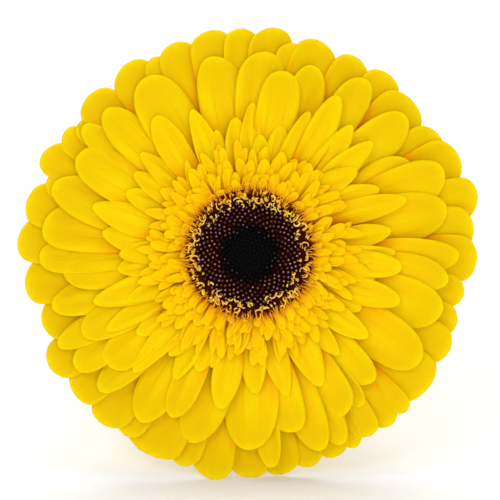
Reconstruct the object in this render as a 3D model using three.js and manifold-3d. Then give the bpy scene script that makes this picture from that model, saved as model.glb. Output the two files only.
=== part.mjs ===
import * as THREE from 'three';
import { mergeVertices } from 'three/addons/utils/BufferGeometryUtils.js';
import Module from 'manifold-3d';

// A full yellow gerbera daisy, picked with its leafless stem and laid down.
//
// The bloom is shaped about its own axis first: radius and height in millimetres,
// height 0 where the rear row of ray florets springs from the head, angles
// anticlockwise as the open face is looked at, from the viewer's right.
// It is then leant over so that the face looks towards -Y and a little upwards,
// the lowest ray tips and the cut end of the stem resting on the surface.

const wasm = await Module();
wasm.setup();
const { Manifold } = wasm;

// Driving dimensions, in millimetres and degrees.

const FACE_TILT = 18;           // the face looks this far above the horizontal
const REST_FLAT = 0.35;         // depth of the worn flat where a tip bears on the surface
const GAP = 0.3;                // clearance between neighbouring pieces

const DRUM_RADIUS = 13.0;       // fleshy disc that the ray florets spring from
const DRUM_BOTTOM = -1.7;
const DRUM_TOP = 6.7;
const TIER_BOTTOM = DRUM_TOP + GAP;
const TIER_TOP = 10.8;          // the short florets spring from the tier above it
const TIER_RADIUS = 15.0;
const RIM_BOTTOM = TIER_TOP + GAP;
const RIM_TOP = 12.0;
const DISC_RADIUS = 11.9;
const CURL_RING = [12.2, 13.6];
const BRISTLE_RING = [13.9, 15.0];

const NECK_HEIGHT = -17.0;      // where the stem meets the green cup
const CUP_TOP = DRUM_BOTTOM - GAP;
const NECK_RADIUS = 3.5;
const STEM_RADIUS = 3.1;
const STEM_FOOT_RADIUS = 3.4;
const STEM_FOOT = new THREE.Vector3(5, 149, 0);
const STEM_SAG = 5;

const RAY_THICKNESS = 0.8;
const SHORT_THICKNESS = 0.66;
const GOLDEN_ANGLE = 137.508;

// How much wider each row's florets are than the part of them that shows.
const REAR_FULLNESS = 1.12;
const FRONT_FULLNESS = 1.06;
const MIDDLE_FULLNESS = 1.05;

// Rows of long florets, seen from the front: [angle, reach of the tip, width].
const REAR_RAYS = [
  [7, 54.0, 9.5], [14.5, 56.4, 9.4], [25.5, 55.3, 10.3], [31.5, 53.5, 9.0],
  [43, 53.5, 11.0], [52, 54.4, 8.8], [61, 53.5, 8.8], [71.5, 53.6, 9.8],
  [78, 51.4, 6.5], [84, 54.4, 9.2], [92, 53.9, 7.5], [100.5, 54.2, 9.2],
  [110, 53.6, 8.8], [116.5, 52.3, 6.0], [123.5, 54.2, 10.0], [135.5, 54.0, 9.6],
  [142.5, 51.4, 6.0], [147.5, 53.0, 6.5], [154, 55.0, 8.2], [160.5, 51.6, 6.0],
  [167, 54.8, 9.6], [176.5, 55.6, 10.0], [187.5, 54.2, 9.8], [199, 52.4, 9.8],
  [209.5, 55.1, 9.3], [219, 53.8, 8.8], [229, 54.0, 8.9], [235.5, 52.8, 6.5],
  [243, 53.9, 12.5], [252.5, 53.3, 6.5], [260, 54.7, 8.9], [270, 53.8, 8.8],
  [279, 53.5, 8.0], [286, 53.2, 7.5], [294, 52.8, 7.2], [299, 52.9, 4.8],
  [303.5, 52.3, 6.5], [310, 53.3, 6.8], [315, 53.3, 5.0], [323, 53.6, 11.4],
  [334.2, 53.2, 9.2], [341.5, 52.4, 7.2], [349.5, 52.2, 7.2], [358.5, 54.5, 10.0],
];
const FRONT_RAYS = [
  [12.5, 48.5, 11.5], [22.5, 50.6, 10.5], [28, 44.4, 10.5], [41, 49.9, 10.0],
  [56.5, 50.2, 8.5], [70.5, 47.5, 9.0], [79, 44.4, 9.5], [86, 48.5, 11.0],
  [100, 48.0, 11.5], [121, 49.0, 12.5], [135.5, 48.7, 9.0], [143, 50.2, 7.0],
  [150, 47.3, 11.0], [161, 49.9, 10.5], [172, 49.9, 10.5], [181, 50.4, 8.0],
  [185, 44.9, 10.5], [195, 49.0, 8.5], [205.5, 50.9, 7.0], [205, 44.4, 8.0],
  [213, 49.9, 7.5], [218, 43.2, 8.5], [222, 48.7, 7.5], [236, 48.0, 10.0],
  [244.5, 43.4, 7.0], [253, 47.5, 11.0], [270, 47.0, 12.5], [276, 51.6, 6.0],
  [283, 43.9, 9.0], [290, 50.2, 8.8], [296, 50.9, 7.0], [299.5, 45.0, 10.5],
  [306.5, 45.4, 5.0], [313, 42.5, 7.5], [327.5, 48.5, 12.5], [342.5, 48.2, 11.5],
  [353, 48.0, 8.5], [359, 50.2, 8.8],
];
const MIDDLE_RAYS = [
  [0.5, 34.8, 5.0], [9, 34.3, 5.6], [19, 39.6, 6.0], [27, 34.6, 7.0],
  [38, 32.6, 6.0], [42, 39.6, 6.2], [51.5, 39.1, 6.8], [60.5, 43.2, 7.0],
  [67, 36.7, 5.0], [76, 31.2, 5.5], [84, 28.4, 4.6], [89, 36.0, 5.2],
  [96, 32.6, 5.8], [105, 30.5, 5.0], [112, 37.0, 6.5], [125, 39.8, 7.2],
  [137, 35.3, 5.6], [145, 33.6, 5.6], [153.5, 32.9, 5.6], [163.5, 39.1, 7.5],
  [172, 35.5, 6.5], [180, 31.0, 5.4], [187, 31.7, 6.0], [197.5, 39.0, 7.4],
  [201, 31.0, 5.2], [208, 38.6, 5.6], [216, 33.0, 5.6], [225.5, 39.6, 6.2],
  [232, 31.0, 4.8], [239, 35.0, 5.2], [246, 30.7, 5.2], [252, 28.6, 4.6],
  [259, 37.7, 7.0], [272, 33.4, 6.5], [284.5, 35.0, 6.2], [298.5, 36.0, 7.4],
  [311, 32.2, 5.0], [324.5, 34.6, 6.2], [333, 29.8, 4.8], [342.5, 37.7, 6.5],
  [348, 30.5, 5.5], [354.5, 36.5, 6.4],
];

// How wide a floret is along its length: [share of the length, share of the width].
const LONG_OUTLINE = [[0, 0.16], [0.85, 1.0], [0.96, 0.72], [1, 0.3]];
const MIDDLE_OUTLINE = [[0, 0.24], [0.84, 1.0], [1, 0.4]];
const SHORT_OUTLINE = [[0, 0.6], [0.7, 1.0], [1, 0.42]];
const BRACT_OUTLINE = [[0, 1.0], [1, 0.2]];
const CURL_OUTLINE = [[0, 1.0], [1, 0.75]];

/** A repeatable series of draws between 0 and 1. */
function makeDraw(seed) {
  let state = seed;
  return () => {
    state = (state * 16807) % 2147483647;
    return (state - 1) / 2147483646;
  };
}

/** A draw between -size and +size. */
function spread(draw, size) {
  return (draw() * 2 - 1) * size;
}

function toSolid(geometry) {
  const plain = geometry.clone();
  plain.deleteAttribute('normal');
  plain.deleteAttribute('uv');
  const merged = mergeVertices(plain, 1e-4);
  const mesh = new wasm.Mesh({
    numProp: 3,
    vertProperties: new Float32Array(merged.attributes.position.array),
    triVerts: new Uint32Array(merged.index.array),
  });
  return new Manifold(mesh);
}

function toGeometry(solid) {
  const mesh = solid.getMesh();
  const geometry = new THREE.BufferGeometry();
  geometry.setAttribute('position', new THREE.BufferAttribute(mesh.vertProperties, 3));
  geometry.setIndex(new THREE.BufferAttribute(mesh.triVerts, 1));
  geometry.computeVertexNormals();
  return geometry;
}

/** Fuses solids and keeps the one main body, with no small hollow sealed inside. */
function fuse(solids) {
  const whole = Manifold.union(solids).simplify(0.08);
  const bodies = whole.decompose();
  return bodies.reduce((best, body) => (body.volume() > best.volume() ? body : best));
}

/** A solid turned about the bloom's axis from a closed outline of [radius, height]. */
function turned(outline, sides) {
  const points = [...outline, outline[0]].map(([radius, height]) => new THREE.Vector2(radius, height));
  const geometry = new THREE.LatheGeometry(points, sides);
  geometry.rotateX(Math.PI / 2);
  return toSolid(geometry);
}

/**
 * One floret or bract as a thin blade: the same grid of points on the upper and the
 * under face, joined by a wall. It runs outwards from its root, arched along its
 * length, channelled or rounded across, and tilted so that neighbours overlap.
 */
function blade(shape) {
  const { angle, reach, width, outline, rootRadius, rootHeight, tipHeight } = shape;
  const { arch = 0, channel = 0, tilt = 0, lean = 0, thickness = RAY_THICKNESS, columns = 3 } = shape;
  const length = reach - rootRadius;
  const positions = [];
  const under = [];
  for (const [along, share] of outline) {
    const radius = rootRadius + length * along;
    const turn = THREE.MathUtils.degToRad(angle + lean * (1 - along));
    const middle = rootHeight + (tipHeight - rootHeight) * along + arch * 4 * along * (1 - along);
    const slope = (tipHeight - rootHeight + arch * 4 * (1 - 2 * along)) / length;
    const stretch = Math.hypot(slope, 1);
    for (let column = 0; column < columns; column += 1) {
      const across = (2 * column) / (columns - 1) - 1;
      const side = (across * width * share) / 2;
      const height = middle + tilt * side + channel * share * across * across;
      const down = thickness / stretch;
      const back = (-slope * thickness) / stretch;
      positions.push(...polar(radius, side, turn, height));
      under.push(...polar(radius - back, side, turn, height - down));
    }
  }
  return solidFromFaces(positions, under, outline.length, columns);
}

/** A point at a radius and a sideways step from the line at an angle. */
function polar(radius, side, turn, height) {
  const x = radius * Math.cos(turn) - side * Math.sin(turn);
  const y = radius * Math.sin(turn) + side * Math.cos(turn);
  return [x, y, height];
}

/** Closes two like grids of points into one solid. */
function solidFromFaces(upper, under, rows, columns) {
  const half = rows * columns;
  const index = [];
  for (let row = 0; row < rows - 1; row += 1) {
    for (let column = 0; column < columns - 1; column += 1) {
      const a = row * columns + column;
      const b = a + columns;
      index.push(a, b, b + 1, a, b + 1, a + 1);
      index.push(half + a, half + b + 1, half + b, half + a, half + a + 1, half + b + 1);
    }
  }
  const rim = rimOrder(rows, columns);
  rim.forEach((from, place) => {
    const to = rim[(place + 1) % rim.length];
    index.push(half + from, half + to, to, half + from, to, from);
  });
  const geometry = new THREE.BufferGeometry();
  geometry.setAttribute('position', new THREE.Float32BufferAttribute([...upper, ...under], 3));
  geometry.setIndex(index);
  return toSolid(geometry);
}

/** The border points of a grid in anticlockwise order. */
function rimOrder(rows, columns) {
  const rim = [];
  for (let row = 0; row < rows - 1; row += 1) rim.push(row * columns);
  for (let column = 0; column < columns - 1; column += 1) rim.push((rows - 1) * columns + column);
  for (let row = rows - 1; row > 0; row -= 1) rim.push(row * columns + columns - 1);
  for (let column = columns - 1; column > 0; column -= 1) rim.push(column);
  return rim;
}

function rearRow(draw) {
  return REAR_RAYS.map(([angle, reach, width]) => blade({
    angle,
    reach,
    width: width * REAR_FULLNESS,
    outline: LONG_OUTLINE,
    rootRadius: DRUM_RADIUS - 2,
    rootHeight: width < 7 ? -0.5 : 0.1,
    tipHeight: (angle > 265 && angle < 290 ? -1.6 : -0.2) + spread(draw, 0.5) - (width < 7 ? 0.7 : 0),
    arch: 1.3 + spread(draw, 0.3),
    channel: -0.35,
    tilt: 0.17,
  }));
}

function frontRow(draw) {
  return FRONT_RAYS.map(([angle, reach, width]) => blade({
    angle,
    reach,
    width: width * FRONT_FULLNESS,
    outline: LONG_OUTLINE,
    rootRadius: DRUM_RADIUS - 2,
    rootHeight: reach < 46 ? 3.2 : 2.6,
    tipHeight: (reach < 46 ? 4.6 : 2.9) + spread(draw, 0.5),
    arch: 1.2 + spread(draw, 0.3),
    channel: -0.35,
    tilt: 0.17,
  }));
}

function middleRow(draw) {
  return MIDDLE_RAYS.map(([angle, reach, width]) => blade({
    angle,
    reach,
    width: width * MIDDLE_FULLNESS,
    outline: MIDDLE_OUTLINE,
    rootRadius: DRUM_RADIUS - 1.5,
    rootHeight: 5.3,
    tipHeight: (reach > 34 ? 6.1 : 7.2) + spread(draw, 0.4),
    arch: 0.4,
    channel: 0.3,
    tilt: 0.14,
    lean: spread(draw, 3),
  }));
}

function rayFlorets() {
  const draw = makeDraw(4021);
  const drum = turned([[0, DRUM_BOTTOM], [DRUM_RADIUS, DRUM_BOTTOM], [DRUM_RADIUS, DRUM_TOP], [0, DRUM_TOP]], 18);
  return fuse([drum, ...rearRow(draw), ...frontRow(draw), ...middleRow(draw)]);
}

/** Short strap florets in four staggered rings, the inmost standing up most. */
function shortFlorets() {
  const draw = makeDraw(977);
  const rings = [
    { count: 38, reach: 26.0, rootHeight: 7.9, tipHeight: 9.9, width: 2.8 },
    { count: 35, reach: 23.4, rootHeight: 8.5, tipHeight: 11.4, width: 2.6 },
    { count: 32, reach: 21.0, rootHeight: 9.1, tipHeight: 12.7, width: 2.4 },
    { count: 30, reach: 18.7, rootHeight: 9.8, tipHeight: 13.5, width: 2.1 },
  ];
  const tier = turned([[0, TIER_BOTTOM], [TIER_RADIUS, TIER_BOTTOM], [TIER_RADIUS, TIER_TOP], [0, TIER_TOP]], 18);
  const florets = rings.flatMap((ring, row) => Array.from({ length: ring.count }, (_, place) => blade({
    angle: ((place + (row % 2) / 2 + spread(draw, 0.16)) * 360) / ring.count,
    reach: ring.reach + spread(draw, 0.9),
    width: ring.width * (1 + spread(draw, 0.1)),
    outline: SHORT_OUTLINE,
    rootRadius: TIER_RADIUS - 0.9,
    rootHeight: ring.rootHeight,
    tipHeight: ring.tipHeight + spread(draw, 0.25),
    arch: 0.2,
    tilt: 0.1,
    thickness: SHORT_THICKNESS,
    columns: 2,
  })));
  return fuse([tier, ...florets]);
}

/** A flat ring that a crown of small parts stands on. */
function rimRing([inner, outer]) {
  return turned([[inner, RIM_BOTTOM], [outer, RIM_BOTTOM], [outer, RIM_TOP], [inner, RIM_TOP]], 24);
}

/** Pale yellow curled styles of the florets that have opened. */
function curledStyles() {
  const draw = makeDraw(58);
  const count = 21;
  const [inner, outer] = CURL_RING;
  const curls = Array.from({ length: count }, (_, place) => {
    const foot = (inner + outer) / 2 + 0.1;
    return blade({
      angle: ((place + spread(draw, 0.2)) * 360) / count,
      reach: foot + (place % 2 === 0 ? 0.3 : 0.15),
      width: 1.4,
      outline: CURL_OUTLINE,
      rootRadius: foot,
      rootHeight: RIM_TOP - 0.3,
      tipHeight: RIM_TOP + 1.5 + spread(draw, 0.4),
      thickness: 0.6,
      columns: 2,
    });
  });
  return fuse([rimRing(CURL_RING), ...curls]);
}

/** Red-brown bristles round the styles. */
function bristles() {
  const draw = makeDraw(313);
  const count = 36;
  const [inner, outer] = BRISTLE_RING;
  const spikes = Array.from({ length: count }, (_, place) => {
    const spike = new THREE.ConeGeometry(0.5, 2.9, 3);
    spike.rotateX(Math.PI / 2);
    spike.translate(0, 0, 1.1);
    spike.rotateY(THREE.MathUtils.degToRad(20 + spread(draw, 8)));
    spike.translate((inner + outer) / 2 - 0.1, 0, RIM_TOP);
    spike.rotateZ((((place + spread(draw, 0.3)) * 2) / count) * Math.PI);
    return toSolid(spike);
  });
  const room = turned([[inner, 0], [outer, 0], [outer, RIM_TOP], [outer + 1.2, 40], [inner, 40]], 24);
  return fuse([Manifold.union([rimRing(BRISTLE_RING), ...spikes]).intersect(room)]);
}

/** The dark disc: a shallow dish packed with closed florets along spirals. */
function discFlorets() {
  const count = 54;
  const floretRadius = 0.88;
  const dish = turned([
    [0, RIM_BOTTOM],
    [DISC_RADIUS, RIM_BOTTOM],
    [DISC_RADIUS, RIM_TOP + 0.5],
    [0, RIM_TOP - 0.1],
  ], 14);
  const florets = Array.from({ length: count }, (_, place) => {
    const share = Math.sqrt((place + 0.5) / count);
    const radius = share * (DISC_RADIUS - floretRadius - 0.1);
    const floret = new THREE.OctahedronGeometry(floretRadius, 0);
    floret.scale(1, 1, 1.7);
    floret.translate(radius, 0, RIM_TOP + (radius > DISC_RADIUS - 5 ? 0.75 : 0.1 + 0.5 * share));
    floret.rotateZ(THREE.MathUtils.degToRad(place * GOLDEN_ANGLE));
    return toSolid(floret);
  });
  return fuse([dish, ...florets]);
}

/** The green cup behind the head, clad in three rows of narrow pointed bracts. */
function involucre() {
  const draw = makeDraw(71);
  const cup = turned([
    [0, NECK_HEIGHT],
    [NECK_RADIUS, NECK_HEIGHT],
    [6.8, -11],
    [11.0, CUP_TOP],
    [0, CUP_TOP],
  ], 14);
  const rows = [
    { count: 11, rootRadius: 4.6, reach: 10.6, rootHeight: -14.8, tipHeight: -8.4, width: 3.0 },
    { count: 13, rootRadius: 7.4, reach: 13.2, rootHeight: -11.4, tipHeight: -5.0, width: 3.2 },
    { count: 14, rootRadius: 10.0, reach: 14.6, rootHeight: -7.8, tipHeight: -2.3, width: 3.2 },
  ];
  const bracts = rows.flatMap((row, rank) => Array.from({ length: row.count }, (_, place) => blade({
    angle: ((place + rank / 3 + spread(draw, 0.12)) * 360) / row.count,
    reach: row.reach + spread(draw, 0.3),
    width: row.width,
    outline: BRACT_OUTLINE,
    rootRadius: row.rootRadius,
    rootHeight: row.rootHeight,
    tipHeight: row.tipHeight,
    arch: -0.5,
    tilt: 0.08,
    thickness: 1.0,
    columns: 2,
  })));
  const room = turned([[0, NECK_HEIGHT], [30, NECK_HEIGHT], [30, CUP_TOP], [0, CUP_TOP]], 24);
  return fuse([Manifold.union([cup, ...bracts]).intersect(room)]);
}

/** Leans the upright bloom over, then lifts it to its resting height. */
function restingPlace(lift) {
  const lean = THREE.MathUtils.degToRad(90 - FACE_TILT);
  const matrix = new THREE.Matrix4().makeRotationX(lean);
  return matrix.premultiply(new THREE.Matrix4().makeTranslation(0, 0, lift));
}

/** The stem, from the neck of the cup down to its cut end on the surface. */
function stem(place) {
  const neck = new THREE.Vector3(0, 0, NECK_HEIGHT - GAP).applyMatrix4(place);
  const onward = new THREE.Vector3(0, 0, NECK_HEIGHT - 60).applyMatrix4(place);
  const foot = STEM_FOOT.clone();
  foot.z = STEM_FOOT_RADIUS - REST_FLAT;
  onward.z -= STEM_SAG;
  const path = new THREE.QuadraticBezierCurve3(neck, onward, foot);
  const rows = 11;
  const sides = 12;
  const positions = [];
  const index = [];
  for (let row = 0; row <= rows; row += 1) {
    const along = row / rows;
    const centre = path.getPointAt(along);
    const ahead = path.getTangentAt(along);
    const right = new THREE.Vector3(0, 0, 1).cross(ahead).normalize();
    const upward = ahead.clone().cross(right).normalize();
    const radius = stemRadius(along);
    for (let side = 0; side < sides; side += 1) {
      const turn = (side / sides) * 2 * Math.PI;
      const point = centre.clone();
      point.addScaledVector(right, radius * Math.cos(turn));
      point.addScaledVector(upward, radius * Math.sin(turn));
      positions.push(point.x, point.y, point.z);
    }
  }
  for (let row = 0; row < rows; row += 1) {
    for (let side = 0; side < sides; side += 1) {
      const a = row * sides + side;
      const b = row * sides + ((side + 1) % sides);
      index.push(a, b, b + sides, a, b + sides, a + sides);
    }
  }
  for (let side = 1; side < sides - 1; side += 1) {
    index.push(0, side + 1, side);
    index.push(rows * sides, rows * sides + side, rows * sides + side + 1);
  }
  const geometry = new THREE.BufferGeometry();
  geometry.setAttribute('position', new THREE.Float32BufferAttribute(positions, 3));
  geometry.setIndex(index);
  return toSolid(geometry);
}

/** Widest at the neck, slimmest a third of the way down. */
function stemRadius(along) {
  const flare = (NECK_RADIUS - STEM_RADIUS) * Math.max(0, 1 - along / 0.12);
  return STEM_RADIUS + flare + (STEM_FOOT_RADIUS - STEM_RADIUS) * along;
}

function named(name, solid, colour, roughness) {
  const material = new THREE.MeshStandardMaterial({ color: colour, roughness });
  material.name = `${name}_surface`;
  const mesh = new THREE.Mesh(toGeometry(solid), material);
  mesh.name = name;
  return mesh;
}

function gerbera() {
  const rays = rayFlorets();
  const leant = rays.transform(restingPlace(0).toArray());
  const lift = -leant.boundingBox().min[2] - REST_FLAT;
  const place = restingPlace(lift);
  const settle = (solid) => solid.transform(place.toArray());
  const aboveSurface = (solid) => solid.trimByPlane([0, 0, 1], 0);
  const group = new THREE.Group();
  group.name = 'gerbera_daisy';
  group.add(named('ray_florets', fuse([aboveSurface(settle(rays))]), 0xf5cf06, 0.55));
  group.add(named('short_florets', settle(shortFlorets()), 0xf7bd08, 0.55));
  group.add(named('curled_styles', settle(curledStyles()), 0xf6cf55, 0.6));
  group.add(named('bristles', settle(bristles()), 0x6e2418, 0.8));
  group.add(named('disc_florets', settle(discFlorets()), 0x2a0a10, 0.7));
  group.add(named('involucre', settle(involucre()), 0x55702c, 0.75));
  group.add(named('stem', aboveSurface(stem(place)), 0x77943f, 0.65));
  return centred(group);
}

/** Puts the middle of the resting part's footprint at the origin. */
function centred(group) {
  const middle = new THREE.Box3().setFromObject(group).getCenter(new THREE.Vector3());
  group.children.forEach((mesh) => mesh.geometry.translate(-middle.x, -middle.y, 0));
  return group;
}

export default gerbera();
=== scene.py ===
import math

import bpy
import numpy as np
from mathutils import Matrix, Vector


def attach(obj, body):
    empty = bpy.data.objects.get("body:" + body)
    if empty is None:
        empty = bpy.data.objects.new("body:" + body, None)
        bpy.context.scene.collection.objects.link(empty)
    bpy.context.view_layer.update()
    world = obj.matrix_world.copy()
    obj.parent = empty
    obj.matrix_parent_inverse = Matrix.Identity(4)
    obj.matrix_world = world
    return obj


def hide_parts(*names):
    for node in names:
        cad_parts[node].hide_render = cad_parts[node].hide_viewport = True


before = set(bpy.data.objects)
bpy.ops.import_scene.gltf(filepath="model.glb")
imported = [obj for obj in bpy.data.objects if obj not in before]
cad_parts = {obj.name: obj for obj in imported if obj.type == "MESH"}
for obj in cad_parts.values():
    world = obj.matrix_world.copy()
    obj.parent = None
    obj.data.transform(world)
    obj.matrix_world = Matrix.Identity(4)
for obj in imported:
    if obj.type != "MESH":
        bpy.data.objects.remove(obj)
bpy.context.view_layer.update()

# A full yellow gerbera daisy lying on its side on a pale surface, seen along its stem.
# Shapes are worked out about the bloom's own axis in millimetres: radius and height,
# height 0 where the rear row of ray florets springs from the head, angles anticlockwise
# from the viewer's right. `placed` then leans the bloom over and sets it in the world,
# still in millimetres, and `mesh_object` makes metres of them.

MM_PER_METRE = 1000.0

# The bloom's place, as in the solids, in millimetres and degrees.
FACE_TILT = 18.0
BLOOM_ORIGIN = (0.3, -65.5675, 51.6727)   # the point of the axis at height 0
PRESSED_FLAT = 0.02                       # what would pass the surface lies this high on it

# The photograph's frame: its bloom's axis is at this pixel, at this scale.
FRAME_PIXELS = 500
AXIS_PIXEL = (249.5, 253.5)
MM_PER_PIXEL = 0.24
CAMERA_DISTANCE = 900.0
SENSOR_WIDTH = 36.0

# The head: a drum carries the long florets, a tier the short ones, and two rings the styles and
# the bristles round the disc.
DRUM_RADIUS = 13.0
DRUM_FLOOR = -1.7
DRUM_TOP = 6.7
TIER_RADIUS = 15.0
TIER_FLOOR = 7.0
TIER_TOP = 10.8
RIM_HEIGHT = 12.0
STYLE_BED = dict(inner=11.93, outer=13.74, low=11.0, high=11.6)
HAIR_BED = dict(inner=13.77, outer=15.2, low=11.0, high=11.7)
FOOT_HEIGHT = RIM_HEIGHT - 0.6   # where the styles and bristles stand
DISC_RADIUS = 11.9

# Where the florets' roots begin, hidden in the drum and the tier.
LONG_ROOTS = DRUM_RADIUS - 2
MIDDLE_ROOTS = DRUM_RADIUS - 1.5
SHORT_ROOTS = TIER_RADIUS - 1.1

# The cup behind the head, and the stem.
CUP_TOP = -2.0
NECK_HEIGHT = -17.0
NECK_RADIUS = 3.5
STEM_RADIUS = 3.1
STEM_FOOT_RADIUS = 3.4
STEM_FOOT = (5.0, 149.0)
STEM_SAG = 5.0
SAG_REACH = 60.0         # the stem leaves the cup towards a point this far behind the neck
NECK_FLARE = 0.12        # share of the stem over which it widens to the neck
JOINT = 0.02             # the stem meets the cup with no visible gap
REST_FLAT = 0.35         # its foot is flat this deep where it rests

# How the pieces are drawn.
GOLDEN_ANGLE = math.radians(137.508)
TIP_CROWDING = 2.1       # the rows of points crowd towards the tip by this power
TIP_POWER = 6            # how late along a floret the bend, teeth and skew of its tip set in
EDGE_COVER = 0.22        # a floret's sides stay covered, in painted shade, this much further along it than its middle
EDGE_THINNING = 0.55     # a blade loses this share of its thickness at its edges
CLEARLY_LONGER = 0.5
MOST_STACKED = 2
ROOT_LIFT = 0.5          # a stacked floret's root rises by this share of what its tip does
TURNED_SIDES = 48
RING_SIDES = 64
RING_BEVEL = 0.15
PLAIN_FLORET = {"root": 0.16, "folds": 2.2, "open_from": 1.0}   # where a row says nothing else

# How much wider each row's florets are than the part of them that shows.
REAR_FULLNESS = 1.15
FRONT_FULLNESS = 1.06
MIDDLE_FULLNESS = 1.02
REAR_SPARE = 0.15             # added to the rear row's reach, as its uneven ends fall short of it
LOWEST_ANGLES = (265, 290)    # the rear florets on which the bloom rests

# Rows of long florets, seen from the front: angle, reach of the tip, width.
REAR_RAYS = [
    (7, 54.0, 9.5), (14.5, 56.4, 9.4), (25.5, 55.3, 10.3), (31.5, 53.5, 9.0),
    (43, 53.5, 11.0), (52, 54.4, 8.8), (61, 53.5, 8.8), (71.5, 53.6, 9.8),
    (78, 51.4, 6.5), (84, 54.4, 9.2), (92, 53.9, 7.5), (100.5, 54.2, 9.2),
    (110, 53.6, 8.8), (116.5, 52.3, 6.0), (123.5, 54.2, 10.0), (135.5, 54.0, 9.6),
    (142.5, 51.4, 6.0), (147.5, 53.0, 6.5), (154, 55.0, 8.2), (160.5, 51.6, 6.0),
    (167, 54.8, 9.6), (176.5, 55.6, 10.0), (187.5, 54.2, 9.8), (199, 52.4, 9.8),
    (209.5, 55.1, 9.3), (219, 53.8, 8.8), (229, 54.0, 8.9), (235.5, 52.8, 6.5),
    (243, 53.9, 12.5), (252.5, 53.3, 6.5), (260, 54.7, 8.9), (270, 53.8, 8.8),
    (279, 53.5, 8.0), (286, 53.2, 7.5), (294, 52.8, 7.2), (299, 52.9, 4.8),
    (303.5, 52.3, 6.5), (310, 53.3, 6.8), (315, 53.3, 5.0), (323, 53.6, 11.4),
    (334.2, 53.2, 9.2), (341.5, 52.4, 7.2), (349.5, 52.2, 7.2), (358.5, 54.5, 10.0),
]
FRONT_RAYS = [
    (12.5, 48.5, 11.5), (22.5, 50.6, 10.5), (28, 44.4, 10.5), (41, 49.9, 10.0),
    (56.5, 50.2, 8.5), (70.5, 47.5, 9.0), (79, 44.4, 9.5), (86, 48.5, 11.0),
    (100, 48.0, 11.5), (121, 49.0, 12.5), (135.5, 48.7, 9.0), (143, 50.2, 7.0),
    (150, 47.3, 11.0), (161, 49.9, 10.5), (172, 49.9, 10.5), (181, 50.4, 8.0),
    (185, 44.9, 10.5), (195, 49.0, 8.5), (205.5, 50.9, 7.0), (205, 44.4, 8.0),
    (213, 49.9, 7.5), (218, 43.2, 8.5), (222, 48.7, 7.5), (236, 48.0, 10.0),
    (244.5, 43.4, 7.0), (253, 47.5, 11.0), (270, 47.0, 12.5), (276, 51.6, 6.0),
    (283, 43.9, 9.0), (290, 50.2, 8.8), (296, 50.9, 7.0), (299.5, 45.0, 10.5),
    (306.5, 45.4, 5.0), (313, 42.5, 7.5), (327.5, 48.5, 11.3), (342.5, 48.2, 11.5),
    (353, 48.0, 8.5), (359, 50.2, 8.8),
]
MIDDLE_RAYS = [
    (0.5, 34.8, 5.0), (9, 34.3, 5.6), (19, 39.6, 6.0), (27, 34.6, 7.0),
    (38, 32.6, 6.0), (42, 39.6, 6.2), (51.5, 39.1, 6.8), (60.5, 43.2, 7.0),
    (67, 36.7, 5.0), (76, 31.2, 5.5), (84, 28.4, 4.6), (89, 36.0, 5.2),
    (96, 32.6, 5.8), (105, 30.5, 5.0), (112, 37.0, 6.5), (125, 39.8, 7.2),
    (137, 35.3, 5.6), (145, 33.6, 5.6), (153.5, 32.9, 5.6), (163.5, 39.1, 7.5),
    (172, 35.5, 6.5), (180, 31.0, 5.4), (187, 31.7, 6.0), (197.5, 39.0, 7.4),
    (201, 31.0, 5.2), (208, 38.6, 5.6), (216, 33.0, 5.6), (225.5, 39.6, 6.2),
    (232, 31.0, 4.8), (239, 35.0, 5.2), (246, 30.7, 5.2), (252, 28.6, 4.6),
    (259, 37.7, 7.0), (272, 33.4, 6.5), (284.5, 35.0, 6.2), (298.5, 36.0, 7.4),
    (311, 32.2, 5.0), (324.5, 34.6, 6.2), (333, 29.8, 4.8), (342.5, 37.7, 6.5),
    (348, 30.5, 5.5), (354.5, 36.5, 6.4),
]

# Middle florets whose root stands off to one side: the tip's angle, and how far the root is beyond it.
LEANING = {19: 8, 27: 7, 38: 7, 42: 8, 105: 7, 348: 7, 354.5: 6, 153.5: -5}

# Rings of short florets: count, reach, root height, tip height, width.
SHORT_RINGS = [
    (44, 26.4, 7.7, 7.9, 2.75),
    (47, 24.3, 8.3, 8.6, 2.8),
    (49, 22.2, 9.0, 9.4, 2.7),
    (50, 20.1, 9.8, 10.2, 2.5),
    (50, 18.1, 10.6, 11.0, 2.2),
]

# Rows of bracts on the cup: count, root radius, reach, root height, tip height, width.
BRACT_ROWS = [
    (15, 4.4, 10.6, -14.9, -8.2, 3.0),
    (17, 7.0, 13.2, -11.6, -4.9, 3.1),
    (20, 9.6, 14.7, -8.2, -2.5, 3.0),
]

# The tints of the two kinds of petal. The tints at the root, in the gaps and at the tip are painted shade,
# and the rim tint a painted highlight.
RAY_TINTS = dict(
    deep=(0.87, 0.52, 0.0),
    main=(0.88, 0.58, 0.0),
    bright=(0.90, 0.64, 0.0),
    overlap_shade_tint=(0.88, 0.25, 0.0),
    gap_shade_tint=(0.42, 0.09, 0.0),
    shaded_tip_tint=(0.73, 0.46, 0.0),
    rim_highlight_tint=(0.97, 0.76, 0.0),
    back_tint=(0.76, 0.58, 0.02),
)
SHORT_TINTS = dict(
    deep=(0.97, 0.515, 0.0),
    main=(0.97, 0.575, 0.0),
    bright=(0.98, 0.65, 0.0),
    overlap_shade_tint=(0.92, 0.27, 0.0),
    gap_shade_tint=(0.92, 0.27, 0.0),
    shaded_tip_tint=(0.97, 0.62, 0.0),
    rim_highlight_tint=(0.97, 0.61, 0.0),
    back_tint=(0.80, 0.58, 0.01),
)

# How far the sines of the veins and the fine veins turn over a centimetre, in radians.
VEIN_TURNS = 62.0
FINE_VEIN_TURNS = 150.0
MM_PER_CM = 10.0


# Placing.

def axes():
    """The bloom's own directions in the world: to the viewer's right, up the face, out of it."""
    tilt = math.radians(FACE_TILT)
    right = np.array([1.0, 0.0, 0.0])
    up = np.array([0.0, math.sin(tilt), math.cos(tilt)])
    out = np.array([0.0, -math.cos(tilt), math.sin(tilt)])
    return right, up, out


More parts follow.
